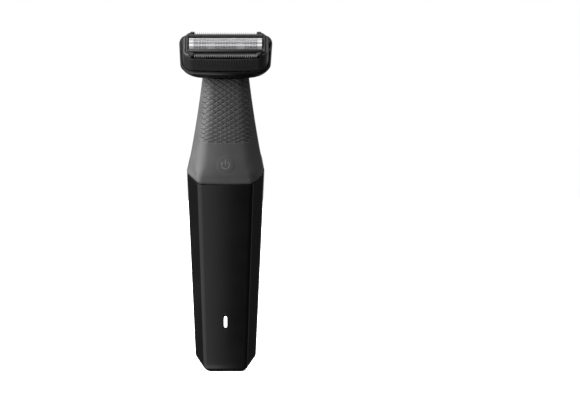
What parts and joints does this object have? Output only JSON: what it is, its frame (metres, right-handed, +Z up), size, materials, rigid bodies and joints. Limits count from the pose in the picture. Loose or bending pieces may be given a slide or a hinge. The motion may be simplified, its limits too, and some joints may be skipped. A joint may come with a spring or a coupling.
{
  "type": "body groomer",
  "caption": "Cordless body groomer: slim tapered handle with soft-touch neck, power button and charge light, carrying a tilted floating foil head flanked by trimmers.",
  "frame": {"origin": "middle of the handle's resting face, on the ground plane", "axes": "+Z up along the handle, -Y towards the front with the power button and the foil, X across the handle and along the foil"},
  "size_m": [0.0558, 0.0384, 0.203],
  "materials": {
    "gloss_shell": "high gloss black ABS",
    "soft_touch": "satin soft-touch elastomer with a diamond texture",
    "black_plastic": "moulded black",
    "matte_head": "fine matte black",
    "inner_plastic": "natural acetal",
    "light_guide": "milky light guide",
    "led_white": "white LED",
    "seal_rubber": "black silicone",
    "nickel": "bright nickel",
    "steel": "turned steel",
    "spring_steel": "spring steel",
    "foil_steel": "polished stainless foil",
    "bronze": "sintered bronze",
    "copper": "enamelled copper",
    "magnet": "coated ferrite",
    "battery_wrap": "shrink sleeve",
    "board_laminate": "green solder mask",
    "component_black": "moulded component",
    "wire_red": "insulated lead"
  },
  "bodies": {
    "handle": {"front_shell": "gloss_shell", "back_shell": "gloss_shell", "grip_sleeve": "soft_touch", "light_guide": "light_guide", "charging_socket": "black_plastic", "socket_pins": "nickel", "socket_seal": "seal_rubber", "chassis": "black_plastic", "battery_cell": "battery_wrap", "battery_tabs": "nickel", "circuit_board": "board_laminate", "board_parts": "component_black", "power_switch": "component_black", "indicator_led": "led_white", "board_screws": "steel", "case_screws": "steel", "lead_wires": "wire_red", "motor_can": "steel", "motor_end_cap": "inner_plastic", "motor_magnets": "magnet", "motor_bearing": "bronze", "motor_brushes": "copper", "motor_screws": "steel", "pivot_pin": "steel", "neck_collar": "black_plastic", "collar_seal": "seal_rubber", "collar_screws": "steel", "drive_seal": "seal_rubber"},
    "button": {"power_button": "soft_touch", "switch_plunger": "inner_plastic"},
    "rotor": {"motor_shaft": "steel", "motor_rotor": "copper", "drive_eccentric": "inner_plastic", "eccentric_pin": "steel"},
    "lever": {"drive_lever": "inner_plastic"},
    "shaving_head": {"head_bowl": "gloss_shell", "latch_springs": "spring_steel", "float_springs": "spring_steel"},
    "cassette": {"cassette_frame": "matte_head", "skin_bars": "matte_head", "foil": "foil_steel", "foil_clamps": "matte_head", "trimmer_guards": "foil_steel"},
    "cutter": {"cutter_carrier": "black_plastic", "cutter_blades": "foil_steel", "blade_springs": "spring_steel", "trimmer_blades": "foil_steel"}
  },
  "joints": [
    {"name": "power_press", "type": "slide", "parent": "handle", "child": "button", "axis": [0, 0.979, -0.204], "range_m": [0, 0.00035], "stiffness_N_per_m": 800},
    {"name": "motor_spin", "type": "hinge", "parent": "handle", "child": "rotor", "pos_m": [0, 0, 0.13], "axis": [0, 0, 1], "continuous": true},
    {"name": "lever_swing", "type": "hinge", "parent": "handle", "child": "lever", "pos_m": [0, 0, 0.165], "axis": [0, 1, 0], "range_deg": [-2.8, 2.8]},
    {"name": "head_release", "type": "slide", "parent": "handle", "child": "shaving_head", "axis": [0, -0.5736, 0.8192], "range_m": [0, 0.022]},
    {"name": "cassette_float", "type": "slide", "parent": "shaving_head", "child": "cassette", "axis": [0, -0.5736, 0.8192], "range_m": [-0.001, 0], "stiffness_N_per_m": 1500, "deforming": ["float_springs"]},
    {"name": "cutter_slide", "type": "slide", "parent": "cassette", "child": "cutter", "axis": [1, 0, 0], "range_m": [-0.0012, 0.0012]}
  ],
  "couplings": [
    {"joint": "cutter_slide", "follows": "lever_swing", "m_per_rad": 0.0242}
  ]
}
